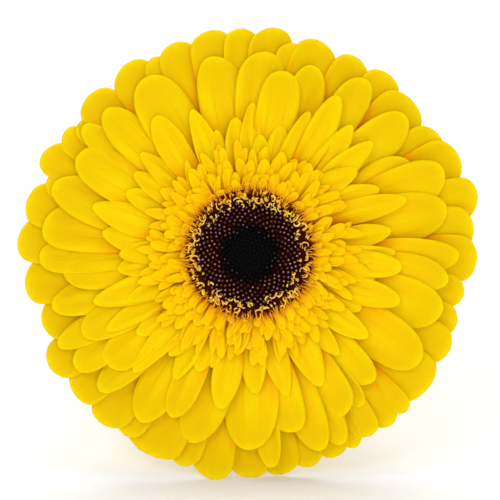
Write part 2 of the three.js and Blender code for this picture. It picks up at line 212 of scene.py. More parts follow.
def placed(points):
    """Bloom millimetres to world millimetres: the origin plus each coordinate along its direction.

    What would pass the surface is pressed flat on it.
    """
    world = np.array(BLOOM_ORIGIN) + points @ np.stack(axes())
    world[..., 2] = np.maximum(world[..., 2], PRESSED_FLAT)
    return world


# Meshes.

def mesh_object(name, points, faces, attributes=None, uv=None, smooth=None):
    """One mesh from world millimetres and a list of arrays of faces, each of one number of sides.

    `smooth` says of each array whether it is shaded smooth; by default all are.
    """
    points = np.ascontiguousarray(points.reshape(-1, 3) / MM_PER_METRE, dtype=np.float32)
    corners = np.concatenate([part.ravel() for part in faces]).astype(np.int32)
    sides = np.concatenate([np.full(len(part), part.shape[1]) for part in faces])
    smooth = smooth or [True] * len(faces)
    shaded = np.concatenate([np.full(len(part), on) for part, on in zip(faces, smooth)])
    starts = (np.cumsum(sides) - sides).astype(np.int32)
    mesh = bpy.data.meshes.new(name)
    mesh.vertices.add(len(points))
    mesh.vertices.foreach_set("co", points.ravel())
    mesh.loops.add(len(corners))
    mesh.loops.foreach_set("vertex_index", corners)
    mesh.polygons.add(len(starts))
    mesh.polygons.foreach_set("loop_start", starts)
    mesh.update(calc_edges=True)
    mesh.polygons.foreach_set("use_smooth", shaded)
    if uv is not None:
        layer = mesh.uv_layers.new(name="lay")
        layer.data.foreach_set("uv", uv.reshape(-1, 2)[corners].astype(np.float32).ravel())
    for label, values in (attributes or {}).items():
        made = mesh.attributes.new(label, "FLOAT", "POINT")
        made.data.foreach_set("value", np.ascontiguousarray(values, dtype=np.float32).ravel())
    mesh.validate()
    piece = bpy.data.objects.new(name, mesh)
    bpy.context.scene.collection.objects.link(piece)
    return piece


def grid_quads(rows, columns, closed=False, wrapped=False):
    """Quads of a grid, its columns joined round where closed, its rows where wrapped."""
    steps = (np.arange(rows if wrapped else rows - 1), np.arange(columns if closed else columns - 1))
    row, column = np.meshgrid(*steps, indexing="ij")
    beyond = (row + 1) % rows
    onward = (column + 1) % columns
    quads = np.stack([row * columns + column, beyond * columns + column,
                      beyond * columns + onward, row * columns + onward], axis=-1)
    return quads.reshape(-1, 4)


def repeated(faces, count, size):
    """The same faces for each of `count` copies of `size` points."""
    return (faces[None, :, :] + (np.arange(count) * size)[:, None, None]).reshape(-1, faces.shape[1])


def blade_faces(rows, columns):
    """Closed blade: upper grid, under grid turned over, and a wall round the border."""
    half = rows * columns
    upper = grid_quads(rows, columns)
    under = upper[:, ::-1] + half
    rim = np.concatenate([
        np.arange(rows - 1) * columns,
        (rows - 1) * columns + np.arange(columns - 1),
        np.arange(rows - 1, 0, -1) * columns + columns - 1,
        np.arange(columns - 1, 0, -1),
    ])
    onward = np.roll(rim, -1)
    wall = np.stack([half + rim, half + onward, onward, rim], axis=-1)
    return [np.concatenate([upper, under]), wall]


def spindle_faces(rings, sides):
    """Closed spindle: quads between its rings, and a fan round a pole point at either end.

    The points run ring by ring, then the first pole and the last.
    """
    corner = np.arange(sides)
    onward = (corner + 1) % sides
    first = np.full(sides, rings * sides)
    top = (rings - 1) * sides
    fans = np.concatenate([
        np.stack([first, onward, corner], axis=-1),
        np.stack([first + 1, top + corner, top + onward], axis=-1),
    ])
    return [grid_quads(rings, sides, closed=True)[:, ::-1], fans]


def with_poles(values, sides):
    """One value a ring, given to all its corners, then the values of the two pole points."""
    return np.concatenate([np.repeat(values, sides, axis=1), values[:, :1], values[:, -1:]], axis=1)


def polar(radius, side, turn, height):
    """A point at a radius along an angle, a step sideways from it, and a height."""
    x = radius * np.cos(turn) - side * np.sin(turn)
    y = radius * np.sin(turn) + side * np.cos(turn)
    return np.stack(np.broadcast_arrays(x, y, height), axis=-1)


def rounded_share(along, widest, root, roundness):
    """Share of the width along a floret: a sine up to the widest place, then a rounded end.

    The sine is raised to a small power, and the end is the root of one less a power of the
    way beyond the widest place, never quite 0.
    """
    shoulder, least = 1.35, 0.0004
    rise = root + (1 - root) * np.sin(0.5 * np.pi * np.clip(along / widest, 0, 1)) ** shoulder
    beyond = np.clip((along - widest) / (1 - widest), 0, 1)
    return np.where(along < widest, rise, np.sqrt(np.maximum(1 - beyond ** roundness, least)))


def columns_of(shape, count):
    """A reader that gives a value of a row's shape as one number a floret, ready to meet the grid."""

    def column(key):
        values = np.asarray(shape.get(key, PLAIN_FLORET.get(key, 0.0)), dtype=float)
        return np.broadcast_to(values, (count,)).reshape(count, 1, 1)

    return column


def blade_plan(column, along, across, share):
    """A floret seen from the front: its radius, its step sideways, its swerve and its turn.

    The radius runs evenly from the root to the tip. A cosine across the tip gives it its
    small teeth, and `skew` carries one side of the tip further out than the other. The step
    sideways is the share of half the width, and half a sine along the floret is its swerve.
    """
    phase, root_radius = column("phase"), column("root_radius")
    length = column("reach") - root_radius
    teeth = column("teeth") * np.cos(2.6 * np.pi * across + 6 * phase) * along ** TIP_POWER * share
    skew = column("skew") * np.cos(40 * phase) * across * along ** TIP_POWER * share
    radius = root_radius + length * along + teeth + skew
    side = across * column("width") * share / 2
    swerve = column("swerve") * length * np.sin(np.pi * along) * 0.5
    turn = np.radians(column("angle") + column("lean") * (1 - along))
    return radius, side, swerve, turn


def blade_height(column, along, across, share, side):
    """Height of a floret's upper face.

    Along the length, the middle line runs from the root to the tip with a parabola for the
    arch, a sine for the wave and a sixth power for the bend of the tip. Across, a straight
    tilt and a square for the channel. A sine along it, turned over from side to side,
    ripples the edges, and a cosine across presses long soft folds into it.
    """
    phase, root_height = column("phase"), column("root_height")
    height = root_height + (column("tip_height") - root_height) * along
    height = height + column("arch") * 4 * along * (1 - along)
    height = height + column("wave") * np.sin(2 * np.pi * (along * 1.3 + phase)) * along
    height = height + column("curl") * along ** TIP_POWER
    height = height + column("tilt") * side + column("channel") * share * across ** 2
    ripple = np.sin(2 * np.pi * (along * 2.2 + phase * 3))
    height = height + column("ripple") * across * np.abs(across) * ripple * along
    fold = np.cos(np.pi * (column("folds") * across + 5 * phase))
    return height + column("fold_depth") * fold * share * np.sin(np.pi * along) ** 0.5


def blades(name, shape, rows, columns, draw):
    """All florets of a row as thin closed blades in one mesh.

    `shape` holds each value as one number for the row or one for each floret. The under face
    lies below the upper one by a thickness that falls with the square of the way across.
    `bare` runs from 0 where other florets cover a floret to 1 where it lies open, later along its sides
    than along its middle, and sets where the painted shade of that cover lies. The tip's shade amount says
    how far painted shade darkens the tip, and `under` is 1 on the back. The map "lay" holds centimetres
    across and the share along.
    """
    count = len(shape["angle"])
    column = columns_of(shape, count)
    along = (1 - (1 - np.linspace(0, 1, rows)) ** TIP_CROWDING).reshape(1, rows, 1)
    across = np.linspace(-1, 1, columns).reshape(1, 1, columns)
    share = rounded_share(along, column("widest"), column("root"), column("roundness"))
    radius, side, swerve, turn = blade_plan(column, along, across, share)
    height = blade_height(column, along, across, share, side)
    thickness = column("thickness") * (1 - EDGE_THINNING * across ** 2)
    upper = polar(radius, side + swerve, turn, height)
    under = polar(radius, side + swerve, turn, height - thickness)
    bare = along - column("covered_to") - EDGE_COVER * across ** 2
    bare = np.clip(bare / (column("open_from") - column("covered_to")), 0, 1)
    full = (count, 2, rows, columns)

    def spread(values):
        return np.broadcast_to(values[:, None], full)

    attributes = {
        "along": spread(along),
        "across": spread(across),
        "bare": spread(bare),
        "tone": spread(draw.random(count).reshape(count, 1, 1)),
        "dull": spread(column("dull")),
        "under": np.broadcast_to(np.array([0.0, 1.0]).reshape(1, 2, 1, 1), full),
    }
    uv = np.stack([spread(across * share * column("width") / MM_PER_CM), spread(along)], axis=-1)
    points = placed(np.stack([upper, under], axis=1))
    faces = [repeated(part, count, 2 * rows * columns) for part in blade_faces(rows, columns)]
    return mesh_object(name, points, faces, attributes, uv, smooth=[True, False])


def tubes(name, paths, radii, sides, attributes):
    """Round tubes along paths: rings of points square to each path, closed by a point at each end.

    `paths` is [tube, step, 3] in world millimetres, `radii` [tube, step], and each attribute
    is spread to that. A ring is the path's point plus its radius times a cosine and a sine
    along two directions square to the path.
    """
    count, steps, _ = paths.shape
    never_zero = 1e-9
    aslant = np.array([0.31, 0.22, 0.93])   # a direction that no tube runs along
    tangent = np.gradient(paths, axis=1)
    tangent /= np.linalg.norm(tangent, axis=2, keepdims=True) + never_zero
    first = np.cross(np.broadcast_to(aslant, tangent.shape), tangent)
    first /= np.linalg.norm(first, axis=2, keepdims=True) + never_zero
    second = np.cross(tangent, first)
    turn = np.linspace(0, 2 * np.pi, sides, endpoint=False)
    ring = first[:, :, None, :] * np.cos(turn)[None, None, :, None]
    ring = ring + second[:, :, None, :] * np.sin(turn)[None, None, :, None]
    rings = paths[:, :, None, :] + ring * radii[:, :, None, None]
    points = np.concatenate([rings.reshape(count, -1, 3), paths[:, :1], paths[:, -1:]], axis=1)
    faces = [repeated(part, count, points.shape[1]) for part in spindle_faces(steps, sides)]
    spread = {label: np.broadcast_to(value, radii.shape) for label, value in attributes.items()}
    made = {label: with_poles(value, sides) for label, value in spread.items()}
    return mesh_object(name, points, faces, made)


def turned(name, outline, under=0.0):
    """A closed solid turned about the bloom's axis from an outline of (radius, height)."""
    outline = np.array(outline, dtype=float)
    turn = np.linspace(0, 2 * np.pi, TURNED_SIDES, endpoint=False)
    rings = polar(outline[:, :1], 0.0, turn[None, :], outline[:, 1:]).reshape(-1, 3)
    poles = np.array([[0.0, 0.0, outline[0, 1]], [0.0, 0.0, outline[-1, 1]]])
    points = placed(np.concatenate([rings, poles]))
    faces = spindle_faces(len(outline), TURNED_SIDES)
    return mesh_object(name, points, faces, {"under": np.full(len(points), under)})


def flat_ring(name, inner, outer, low, high):
    """A closed ring about the bloom's axis: a square section with bevelled upper edges, turned."""
    outline = np.array([
        (inner, low), (outer, low), (outer, high - RING_BEVEL),
        (outer - RING_BEVEL, high), (inner + RING_BEVEL, high), (inner, high - RING_BEVEL),
    ])
    turn = np.linspace(0, 2 * np.pi, RING_SIDES, endpoint=False)
    points = polar(outline[:, :1], 0.0, turn[None, :], outline[:, 1:])
    faces = grid_quads(len(outline), RING_SIDES, closed=True, wrapped=True)
    return mesh_object(name, placed(points), [faces[:, ::-1]])


# Materials.

class Signal:
    """A socket of a material's nodes, so that shader maths reads as plain expressions."""

    def __init__(self, tree, socket):
        self.tree = tree
        self.socket = socket

    def node(self, kind, settings=None, **values):
        """Any node: its settings first, then its sockets by name, or by number as in_0."""
        made = self.tree.nodes.new(kind)
        for key, value in (settings or {}).items():
            setattr(made, key, value)
        for key, value in values.items():
            slot = made.inputs[int(key[3:]) if key.startswith("in_") else key.replace("_", " ")]
            if isinstance(value, Signal):
                self.tree.links.new(value.socket, slot)
            else:
                slot.default_value = value
        return made

    def signal(self, made, output=0):
        """An output of a node as a signal."""
        return Signal(self.tree, made.outputs[output])

    def maths(self, operation, first, second=0.0):
        """A Math node on one or two values."""
        return self.signal(self.node("ShaderNodeMath", {"operation": operation}, in_0=first, in_1=second))

    def __add__(self, other):
        return self.maths("ADD", self, other)

    __radd__ = __add__

    def __sub__(self, other):
        return self.maths("SUBTRACT", self, other)

    def __rsub__(self, other):
        return self.maths("SUBTRACT", other, self)

    def __mul__(self, other):
        return self.maths("MULTIPLY", self, other)

    __rmul__ = __mul__

    def __pow__(self, other):
        return self.maths("POWER", self, other)

    def __abs__(self):
        return self.maths("ABSOLUTE", self)

    def sine(self):
        """The sine of this signal, in radians."""
        return self.maths("SINE", self)

    def clamp(self):
        """This signal held between 0 and 1."""
        return self.signal(self.node("ShaderNodeClamp", Value=self))

    def step(self, low, high):
        """0 below `low`, 1 above `high`, smooth between."""
        smooth = {"interpolation_type": "SMOOTHSTEP"}
        return self.signal(self.node("ShaderNodeMapRange", smooth, Value=self, From_Min=low, From_Max=high))

    def mix(self, first, second):
        """Blends two colours by this signal: the node's colours are sockets 6 and 7, and output 2."""
        first, second = (value if isinstance(value, Signal) else (*value, 1.0) for value in (first, second))
        made = self.node("ShaderNodeMix", {"data_type": "RGBA"}, in_0=self, in_6=first, in_7=second)
        return self.signal(made, 2)

    def noise(self, scale, detail, roughness):
        """Noise between 0 and 1, where this signal is the place."""
        made = self.node("ShaderNodeTexNoise", Vector=self, Scale=scale, Detail=detail, Roughness=roughness)
        return self.signal(made)


class Finish:
    """A new material with one Principled shader, and its common sources."""

    def __init__(self, name, **constants):
        self.material = bpy.data.materials.new(name)
        self.material.use_nodes = True
        self.tree = self.material.node_tree
        self.shader = self.tree.nodes["Principled BSDF"]
        for key, value in constants.items():
            self.shader.inputs[key.replace("_", " ")].default_value = value
        self.place = self.source("ShaderNodeTexCoord", "Object")

    def source(self, kind, output, **settings):
        """An output of a node that reads the surface and takes no signal."""
        start = Signal(self.tree, None)
        return start.signal(start.node(kind, settings), output)

    def attributes(self, *names):
        """Numbers that the mesh keeps at each point."""
        return [self.source("ShaderNodeAttribute", "Fac", attribute_name=name) for name in names]

    def set(self, **signals):
        """Links signals to the shader's sockets."""
        for key, value in signals.items():
            self.tree.links.new(value.socket, self.shader.inputs[key.replace("_", " ")])

    def bump(self, height, strength, distance):
        """Bumps the surface by a signal, whose 1 stands for `distance` metres."""
        made = height.node("ShaderNodeBump", Strength=strength, Distance=distance, Height=height)
        self.set(Normal=height.signal(made))


def petal_finish(name, deep, main, bright, overlap_shade_tint, gap_shade_tint, shaded_tip_tint, rim_highlight_tint, back_tint):
    """Satin petal: painted orange shade where other florets cover it, yellow where open, and a painted pale
    highlight at the rim.

    Long soft folds, streaks, a crease on either side and fine veins run along it, and the folds and streaks
    are painted as light and shade as well as bumped. Its back is paler, with the streaks more plainly seen.
    """
    made = Finish(name, Specular_IOR_Level=0.03)
    along, across, tone = made.attributes("along", "across", "tone")
    bare, dull, under = made.attributes("bare", "dull", "under")
    lay = made.source("ShaderNodeUVMap", "UV", uv_map="lay")
    sideways = lay.signal(lay.node("ShaderNodeSeparateXYZ", Vector=lay))
    cloud = made.place.noise(160.0, 3.0, 0.55)

    # What runs along the petal, each petal's tone giving it a pattern of its own.
    veins = (sideways * VEIN_TURNS + tone * 9.0).sine()
    fine = (sideways * FINE_VEIN_TURNS + tone * 5.0).sine()
    fold = (across * 4.5 + tone * 40.0).sine() * (1.0 - along.step(0.75, 1.0))
    strand = lay.node("ShaderNodeCombineXYZ", in_0=sideways * 9.0, in_1=along * 1.6, in_2=tone * 50.0)
    streak = lay.signal(strand).noise(1.0, 3.0, 0.6) - 0.5
    crease = (1.0 - abs(abs(across) - (0.24 + 0.14 * tone)).step(0.0, 0.10)) * (0.8 + 1.2 * streak)
    crease = (crease * along.step(0.1, 0.4) * (1.0 - along.step(0.6, 0.97))).clamp()

    # The open face, with the painted light and shade of its folds and streaks and a tone that differs at
    # random, then the painted shade of its tip, of its covered part, of its deepest gaps and of its
    # creases.
    shade = 0.5 + 0.35 * fold + 0.55 * streak + 0.02 * veins + 0.01 * fine + 0.5 * (tone - 0.5)
    body = shade.clamp().mix(deep, bright)
    body = (0.25 + 0.05 * fine).mix(body, main)
    # painted shade darkening the tip of the petal
    body = (along.step(0.62, 1.0) * dull).mix(body, shaded_tip_tint)
    # painted orange shade where other florets cover the petal, reaching further along its sides
    body = ((1.0 - (bare + 0.35 * streak).step(0.0, 1.0)) * 0.9).mix(body, overlap_shade_tint)
    # painted dark shade in the deepest gaps, where the petal is most covered
    body = ((1.0 - bare.step(0.0, 0.14)) * 0.6).mix(body, gap_shade_tint)
    # painted shade along the creases
    body = (crease * 0.22).mix(body, overlap_shade_tint)

    # The painted pale highlight at the rim, the painted orange-brown shade on the wall round the edge, and
    # the back.
    # painted pale highlight along the rim and at the tip
    rim = (abs(across) ** 9.0 + along ** 30.0).clamp() * bare.step(0.0, 0.6)
    body = (rim * 0.8).mix(body, rim_highlight_tint)
    # painted orange-brown shade on the wall round the edge, darker where the petal is covered
    wall = (abs(across).step(0.97, 1.0) + along.step(0.995, 1.0)).clamp()
    body = (wall * (0.85 - 0.35 * bare)).mix(body, bare.step(0.0, 0.5).mix(gap_shade_tint, overlap_shade_tint))
    body = (under.step(0.9, 1.0) * (0.75 + 0.1 * veins + 0.3 * streak)).mix(body, back_tint)
    made.set(Base_Color=body, Roughness=0.6 + 0.12 * (cloud - 0.5) + 0.03 * veins)
    made.bump(0.02 * veins + 0.3 * streak + 0.6 * fold - 0.35 * crease, 0.5, 0.0005)
    return made.material


def disc_finish():
    """Closed florets: near black in the middle, maroon outwards, each with a pale tip."""
    made = Finish("disc_floret_skin", Specular_IOR_Level=0.05)
    tip, ripe, tone = made.attributes("tip", "ripe", "tone")
    grain = made.place.noise(1400.0, 2.0, 0.6)
    maroon = grain.mix((0.022, 0.002, 0.0022), (0.070, 0.006, 0.005))
    black = grain.mix((0.0015, 0.0012, 0.0014), (0.004, 0.003, 0.0035))
    body = ripe.step(0.48, 0.75).mix(black, maroon)
    pale = grain.mix((0.38, 0.20, 0.165), (0.72, 0.48, 0.42))
    pale_share = (ripe + 0.3 * (tone - 0.6)).step(0.44, 0.96) * (0.1 + 0.85 * tone)
    body = (tip.step(0.86, 1.0) * pale_share).clamp().mix(body, pale)
    made.set(Base_Color=body, Roughness=0.55 + 0.3 * grain)
    made.bump(grain, 0.3, 0.00008)
    return made.material


def bristle_finish():
    """Hair-like bristles, near-black maroon at the foot; some stay maroon and most turn gold."""
    made = Finish("bristle_hair", Specular_IOR_Level=0.0)
    tip, tone = made.attributes("tip", "tone")
    golden = tone.step(0.1, 0.3)
    body = tip.step(0.1, 0.9).mix((0.08, 0.005, 0.001), (0.46, 0.10, 0.01))
    body = (golden * tip.step(0.0, 0.5)).mix(body, (1.0, 0.50, 0.02))
    made.set(Base_Color=body, Roughness=0.7 + 0.2 * tone)
    return made.material


def curl_finish():
    """Curled styles: pale yellow, dark brown at the foot, powdered with pollen."""
    made = Finish("curled_style_skin", Subsurface_Weight=0.2, Subsurface_Scale=0.0004,
                  Specular_IOR_Level=0.03)
    tip, tone = made.attributes("tip", "tone")
    pollen = made.place.noise(2600.0, 2.0, 0.6)
    body = (pollen * 0.4 + tone * 0.8).mix((0.98, 0.42, 0.015), (1.0, 0.70, 0.11))
    body = (1.0 - tip.step(0.1, 0.35)).mix(body, (0.40, 0.11, 0.01))
    body = (1.0 - tip.step(0.0, 0.1)).mix(body, (0.05, 0.004, 0.001))
    made.set(Base_Color=body, Roughness=0.6 + 0.3 * pollen)
    made.bump(pollen, 0.5, 0.00006)
    return made.material


def green_finish(name, dark, light, streak_turns):
    """Downy green skin, streaked along its length and pale where it is cut."""
    made = Finish(name, Sheen_Weight=0.12, Sheen_Roughness=0.6, Specular_IOR_Level=0.25,
                  Subsurface_Weight=0.1, Subsurface_Scale=0.001)
    along, across, tone, cut = made.attributes("along", "across", "tone", "cut")
    streak = (across * streak_turns + tone * 7.0).sine()
    cloud = made.place.noise(220.0, 4.0, 0.6)
    body = (0.45 + 0.18 * streak + 0.9 * (cloud - 0.5) + 0.25 * (tone - 0.5)).clamp().mix(dark, light)
    body = (along.step(0.82, 1.0) * 0.5).mix(body, dark)
    body = cut.clamp().mix(body, (0.55, 0.60, 0.30))
    made.set(Base_Color=body, Roughness=0.55 + 0.25 * cloud)
    made.bump(0.5 * streak + 0.6 * cloud, 0.4, 0.0002)
    return made.material


# Pieces.

def wear(piece, material, node):
    """Gives a piece its material and its body, and hides the solid that it stands for."""
    piece.data.materials.append(material)
    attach(piece, "root")
    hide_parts(node)


def joined(name, pieces):
    """Joins meshes of one material into one piece."""
    bpy.ops.object.select_all(action="DESELECT")
    for piece in pieces:
        piece.select_set(True)
    bpy.context.view_layer.objects.active = pieces[0]
    bpy.ops.object.join()
    whole = bpy.context.view_layer.objects.active
    whole.name = name
    return whole


def table(rows, fullness):
    """Angle, reach and whole width of each floret; the rows hold the width that shows."""
    data = np.array(rows, dtype=float)
    return {"angle": data[:, 0], "reach": data[:, 1], "width": data[:, 2] * fullness}


def chances(draw, count):
    """A maker of chance numbers, `count` at a time, even between `size` below 0 and `size` above."""

    def vary(size):
        return draw.uniform(-size, size, count)

    return vary


def stacked(shape, near, step):
    """A lift for each floret that lies on longer ones.

    It is a step for each clearly longer one within `near` degrees, two at most.
    """
    apart = np.abs((shape["angle"][:, None] - shape["angle"] + 180) % 360 - 180)
    longer = (apart < near) & (shape["reach"] > shape["reach"][:, None] + CLEARLY_LONGER)
    return np.minimum(longer.sum(axis=1), MOST_STACKED) * step


def rear_rays(draw):
    """The rear row, broad and round-ended; those on which the bloom rests bend back a little."""
    shape = table(REAR_RAYS, REAR_FULLNESS)
    count = len(shape["angle"])
    vary = chances(draw, count)
    shape["reach"] = shape["reach"] + REAR_SPARE
    lift = stacked(shape, near=7.0, step=0.45)
    lowest = (shape["angle"] > LOWEST_ANGLES[0]) & (shape["angle"] < LOWEST_ANGLES[1])
    shape.update(
        root_radius=LONG_ROOTS,
        root_height=ROOT_LIFT * lift,
        tip_height=np.where(lowest, -1.6, -0.4) + vary(0.2) + lift,
        arch=1.1 + vary(0.2),
        channel=-0.1 + vary(0.35),
        tilt=0.18 + vary(0.03),
        curl=vary(0.4),
        wave=vary(0.15),
        ripple=vary(0.35),
        swerve=vary(0.03),
        phase=draw.random(count),
        widest=0.86 + vary(0.02),
        roundness=3.1 + vary(0.6),
        teeth=0.35,
        skew=0.5,
        fold_depth=0.16,
        dull=0.7,
        covered_to=0.49,
        open_from=0.78,
        thickness=0.42,
    )
    return blades("rear_rays", shape, rows=22, columns=11, draw=draw)


def front_rays(draw):
    """The front row: long ovals, each lifted where it lies on longer neighbours."""
    shape = table(FRONT_RAYS, FRONT_FULLNESS)
    count = len(shape["angle"])
    vary = chances(draw, count)
    lift = stacked(shape, near=9.5, step=1.05)
    shape.update(
        root_radius=LONG_ROOTS,
        root_height=2.5 + ROOT_LIFT * lift,
        tip_height=2.6 + vary(0.2) + lift,
        arch=1.2 + vary(0.2),
        channel=vary(0.35),
        tilt=0.17 + vary(0.05),
        curl=-0.5 + vary(0.3),
        wave=vary(0.2),
        ripple=vary(0.35),
        swerve=vary(0.03),
        phase=draw.random(count),
        widest=0.71 + vary(0.08),
        roundness=2.7 + vary(0.8),
        teeth=0.35,
        skew=1.0,
        fold_depth=0.18,
        dull=0.65,
        covered_to=0.25,
        open_from=0.62,
        thickness=0.42,
    )
    return blades("front_rays", shape, rows=22, columns=11, draw=draw)


def middle_rays(draw):
    """The middle row: shorter, narrower and more pointed, some leaning to one side."""
    shape = table(MIDDLE_RAYS, MIDDLE_FULLNESS)
    count = len(shape["angle"])
    vary = chances(draw, count)
    lift = stacked(shape, near=8.0, step=0.5)
    leaning = np.array([LEANING.get(angle, 0) for angle in shape["angle"]])
    shape.update(
        root_radius=MIDDLE_ROOTS,
        root_height=5.2 + ROOT_LIFT * lift,
        tip_height=5.8 + lift + vary(0.3),
        arch=0.9,
        channel=0.2 + vary(0.3),
        tilt=0.12 + vary(0.1),
        lean=leaning + vary(3),
        curl=-0.3 + vary(0.5),
        wave=vary(0.3),
        ripple=vary(0.25),
        swerve=vary(0.05),
        phase=draw.random(count),
        root=0.2,
        widest=0.63 + vary(0.09),
        roundness=1.6 + vary(0.45),
        teeth=0.25,
        skew=1.0,
        fold_depth=0.19,
        dull=0.15,
        covered_to=0.20,
        open_from=0.56,
        thickness=0.38,
    )
    return blades("middle_rays", shape, rows=18, columns=9, draw=draw)


def head_drum():
    """The fleshy disc of the head behind the florets, a plain turned drum with bevelled edges."""
    outline = [(1, DRUM_FLOOR), (DRUM_RADIUS - 0.6, DRUM_FLOOR), (DRUM_RADIUS, DRUM_FLOOR + 0.5),
               (DRUM_RADIUS, DRUM_TOP - 0.5), (DRUM_RADIUS - 0.5, DRUM_TOP), (1, DRUM_TOP)]
    return turned("head_drum", outline, under=1.0)


def short_rings(draw):
    """Short florets in staggered rings: the inmost are shortest and stand highest."""
    pieces = []
    for rank, (count, reach, root_height, tip_height, width) in enumerate(SHORT_RINGS):
        vary = chances(draw, count)
        place = np.arange(count) + (rank % 2) / 2 + vary(0.4)
        shape = dict(
            angle=place * 360 / count,
            reach=reach + vary(1.7),
            width=width * (1 + vary(0.2)),
            root_radius=SHORT_ROOTS,
            root_height=root_height,
            tip_height=tip_height + vary(0.3),
            arch=0.25,
            channel=0.05 + vary(0.1),
            tilt=0.07 + vary(0.07),
            lean=vary(8),
            curl=vary(0.3),
            wave=vary(0.1),
            ripple=vary(0.12),
            swerve=vary(0.12),
            phase=draw.random(count),
            root=0.75,
            widest=0.70 + vary(0.1),
            roundness=1.75 + vary(0.5),
            teeth=0.18,
            skew=0.5,
            fold_depth=0.12,
            folds=1.4,
            covered_to=0.05,
            open_from=0.6,
            thickness=0.24,
        )
        pieces.append(blades(f"short_ring_{rank}", shape, rows=12, columns=7, draw=draw))
    return pieces


def head_tier():
    """The raised tier of the head from which the short florets spring, turned."""
    outline = [(1, TIER_FLOOR), (TIER_RADIUS, TIER_FLOOR), (TIER_RADIUS, TIER_TOP - 0.2),
               (TIER_RADIUS - 0.3, TIER_TOP), (1, TIER_TOP)]
    return turned("head_tier", outline)


def curled_styles(draw):
    """Hooks and loops on short stalks: each runs up, then bends round a small circle.

    The circle's plane holds one drawn direction in the face and one that leans between the
    face and its axis, so that many loops lie open to the front. A few are stout stubs.
    """
    count, steps = 190, 14
    vary = chances(draw, count)
    stalk = 0.3              # share of the length that runs up before it bends
    outer_foot = 12.9        # a foot nearer the axis than this has a taller stalk, to clear the disc
    angle = (np.arange(count) + vary(0.9)) * 2 * np.pi / count
    stout = draw.random(count) < 0.14
    foot = draw.uniform(11.5, 14.6, count)
    rise = np.where(stout, 0.3, draw.uniform(0.6, 1.6, count)) + 0.9 * np.clip(outer_foot - foot, 0, 1.3)
    bend = np.where(stout, 1.3, draw.uniform(0.8, 4.0, count))
    loop = np.where(stout, 0.8, draw.uniform(0.3, 0.8, count))
    facing = draw.uniform(0, 2 * np.pi, count)
    open_lean = np.radians(np.where(stout, 88, draw.uniform(25, 90, count)))
    along = np.linspace(0, 1, steps)
    climb = np.minimum(along / stalk, 1)[None, :] * rise[:, None]
    turn = np.maximum(along - stalk, 0)[None, :] / (1 - stalk) * bend[:, None]
    forward = loop[:, None] * (1 - np.cos(turn))
    lift = loop[:, None] * np.sin(turn)
    centre = polar(foot[:, None], 0.0, angle[:, None], FOOT_HEIGHT + climb)
    away = np.stack([np.cos(facing), np.sin(facing), np.zeros(count)], axis=-1)
    across = np.stack([-np.sin(facing), np.cos(facing), np.zeros(count)], axis=-1)
    over = across * np.sin(open_lean)[:, None] + np.array([0.0, 0.0, 1.0]) * np.cos(open_lean)[:, None]
    paths = centre + forward[:, :, None] * away[:, None, :] + lift[:, :, None] * over[:, None, :]
    girth = np.where(stout, 0.44, draw.uniform(0.16, 0.25, count))
    radii = girth[:, None] * (1 - 0.3 * along ** 3)[None, :]
    attributes = {"tip": along, "tone": draw.random((count, 1))}
    return tubes("curled_styles", placed(paths), radii, 6, attributes)


def bristle_ring(draw):
    """Straight tapering hairs, leaning outwards over the roots of the short florets.

    Along each, the radius grows by the sine of its lean and the height by the cosine.
    """
    count, steps = 420, 4
    vary = chances(draw, count)
    angle = (np.arange(count) + vary(0.8)) * 2 * np.pi / count
    foot = draw.uniform(12.9, 15.0, count)
    length = draw.uniform(1.6, 4.0, count)
    lean = np.radians(draw.uniform(35, 68, count))
    swing = np.radians(vary(14))
    along = np.linspace(0, 1, steps)
    radius = foot[:, None] + (length * np.sin(lean))[:, None] * along
    height = FOOT_HEIGHT + (length * np.cos(lean))[:, None] * along
    paths = polar(radius, 0.0, angle[:, None] + swing[:, None] * along * 0.3, height)
    radii = draw.uniform(0.17, 0.28, (count, 1)) * (1 - 0.85 * along)[None, :]
    attributes = {"tip": along, "tone": draw.random((count, 1))}
    return tubes("bristle_hairs", placed(paths), radii, 4, attributes)


def disc_buds(draw):
    """Closed florets on golden-angle spirals: each a tube drawn up to a blunt pale tip.

    Each stands one golden angle on from the last, at a radius that grows as the square root
    of its number. The bed swells by part of a sine towards the rim, and the outer ones, which
    are riper, are taller.
    """
    count, bud_radius = 445, 0.60
    vary = chances(draw, count)
    order = np.arange(count) + 0.5
    ripe = np.sqrt(order / count)
    radius = ripe * (DISC_RADIUS + 0.4) + vary(0.1)
    profile_width = np.array([1.0, 1.0, 0.86, 0.60, 0.44, 0.34, 0.15])
    profile_height = np.array([-0.9, 0.0, 0.5, 0.8, 0.95, 1.08, 1.16])
    bed = RIM_HEIGHT - 0.5 + np.sin(np.clip((ripe - 0.35) / 0.65, 0, 1) * np.pi * 0.62)
    tall = 0.5 + 0.75 * np.clip((ripe - 0.3) / 0.5, 0, 1)
    height = bed[:, None] + tall[:, None] * profile_height[None, :]
    swing = vary(0.12)[:, None] * profile_height
    paths = polar(radius[:, None], swing, (order * GOLDEN_ANGLE)[:, None], height)
    radii = np.broadcast_to(bud_radius * profile_width[None, :], height.shape)
    attributes = {
        "tip": profile_height / profile_height.max(),
        "ripe": ripe[:, None],
        "tone": draw.random((count, 1)),
    }
    return tubes("disc_buds", placed(paths), radii, 8, attributes)


def disc_dish():
    """The shallow dish that carries the closed florets, turned, low in the middle."""
    outline = [(0.3, 11.1), (DISC_RADIUS, 11.1), (DISC_RADIUS, 11.9), (DISC_RADIUS - 1, 12.2),
               (5, 11.6), (0.3, 11.4)]
    return turned("disc_dish", outline)


